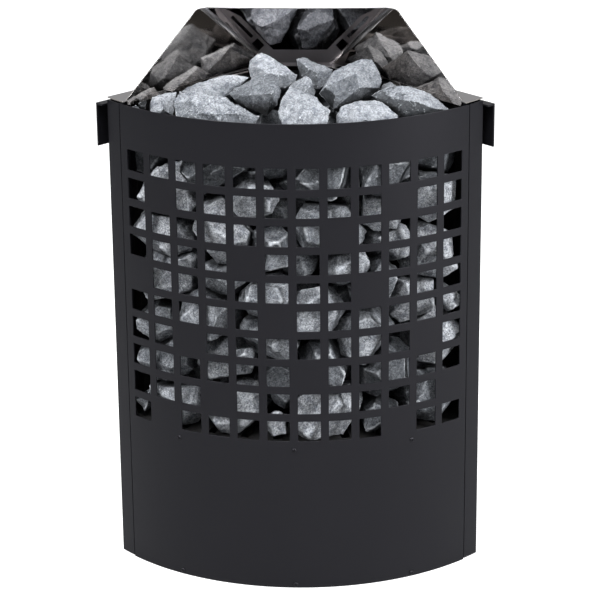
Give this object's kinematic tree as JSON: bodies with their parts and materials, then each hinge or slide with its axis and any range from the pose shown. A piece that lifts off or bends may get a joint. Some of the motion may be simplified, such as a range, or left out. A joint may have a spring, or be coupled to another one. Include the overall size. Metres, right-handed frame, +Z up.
{
  "type": "corner sauna heater",
  "caption": "Wall-hung corner sauna heater: bowed black grille casing with square cut-outs, filled and heaped with split stones, under a dark mirrored three-facet reflector",
  "frame": {"origin": "centre of the outer box, at the bottom edge of the casing", "axes": "+Z up; the bowed grille faces -Y; the room corner lies towards +Y; +X to the right seen from the front"},
  "size_m": [0.4256, 0.247, 0.6136],
  "materials": {
    "black_coat": "satin",
    "dark_mirror": "polished",
    "zinc_sheet": "satin",
    "element_sheath": "matte",
    "stone": "matte",
    "brass": "satin",
    "ceramic": "matte",
    "lead_sleeve": "matte",
    "gland_plastic": "matte"
  },
  "bodies": {
    "root": {"front_panel_1": "black_coat", "front_panel_2": "black_coat", "front_panel_3": "black_coat", "front_panel_4": "black_coat", "front_panel_5": "black_coat", "front_panel_6": "black_coat", "front_panel_7": "black_coat", "panel_screw_1": "black_coat", "panel_screw_2": "black_coat", "panel_screw_3": "black_coat", "panel_screw_4": "black_coat", "panel_screw_5": "black_coat", "panel_screw_6": "black_coat", "left_side_panel": "black_coat", "right_side_panel": "black_coat", "back_panel": "black_coat", "base_plate": "zinc_sheet", "element_plate": "zinc_sheet", "stone_grate": "black_coat", "left_heat_shield": "zinc_sheet", "right_heat_shield": "zinc_sheet", "back_heat_shield": "zinc_sheet", "reflector": "dark_mirror", "heating_element_1": "element_sheath", "heating_element_2": "element_sheath", "heating_element_3": "element_sheath", "element_nut_1": "zinc_sheet", "element_nut_2": "zinc_sheet", "element_nut_3": "zinc_sheet", "element_nut_4": "zinc_sheet", "element_nut_5": "zinc_sheet", "element_nut_6": "zinc_sheet", "stone_bed": "stone", "top_stone_01": "stone", "top_stone_02": "stone", "top_stone_03": "stone", "top_stone_04": "stone", "top_stone_05": "stone", "top_stone_06": "stone", "top_stone_07": "stone", "top_stone_08": "stone", "top_stone_09": "stone", "top_stone_10": "stone", "top_stone_11": "stone", "top_stone_12": "stone", "top_stone_13": "stone", "top_stone_14": "stone", "terminal_block": "ceramic", "terminal_block_screw_1": "zinc_sheet", "terminal_block_screw_2": "zinc_sheet", "lead_wire_1": "lead_sleeve", "lead_wire_2": "lead_sleeve", "lead_wire_3": "lead_sleeve", "link_bar": "brass", "earth_stud": "brass", "cable_gland_body": "gland_plastic", "cable_gland_cap": "gland_plastic", "gland_locknut": "gland_plastic", "left_wall_bracket": "black_coat", "right_wall_bracket": "black_coat"}
  },
  "joints": []
}
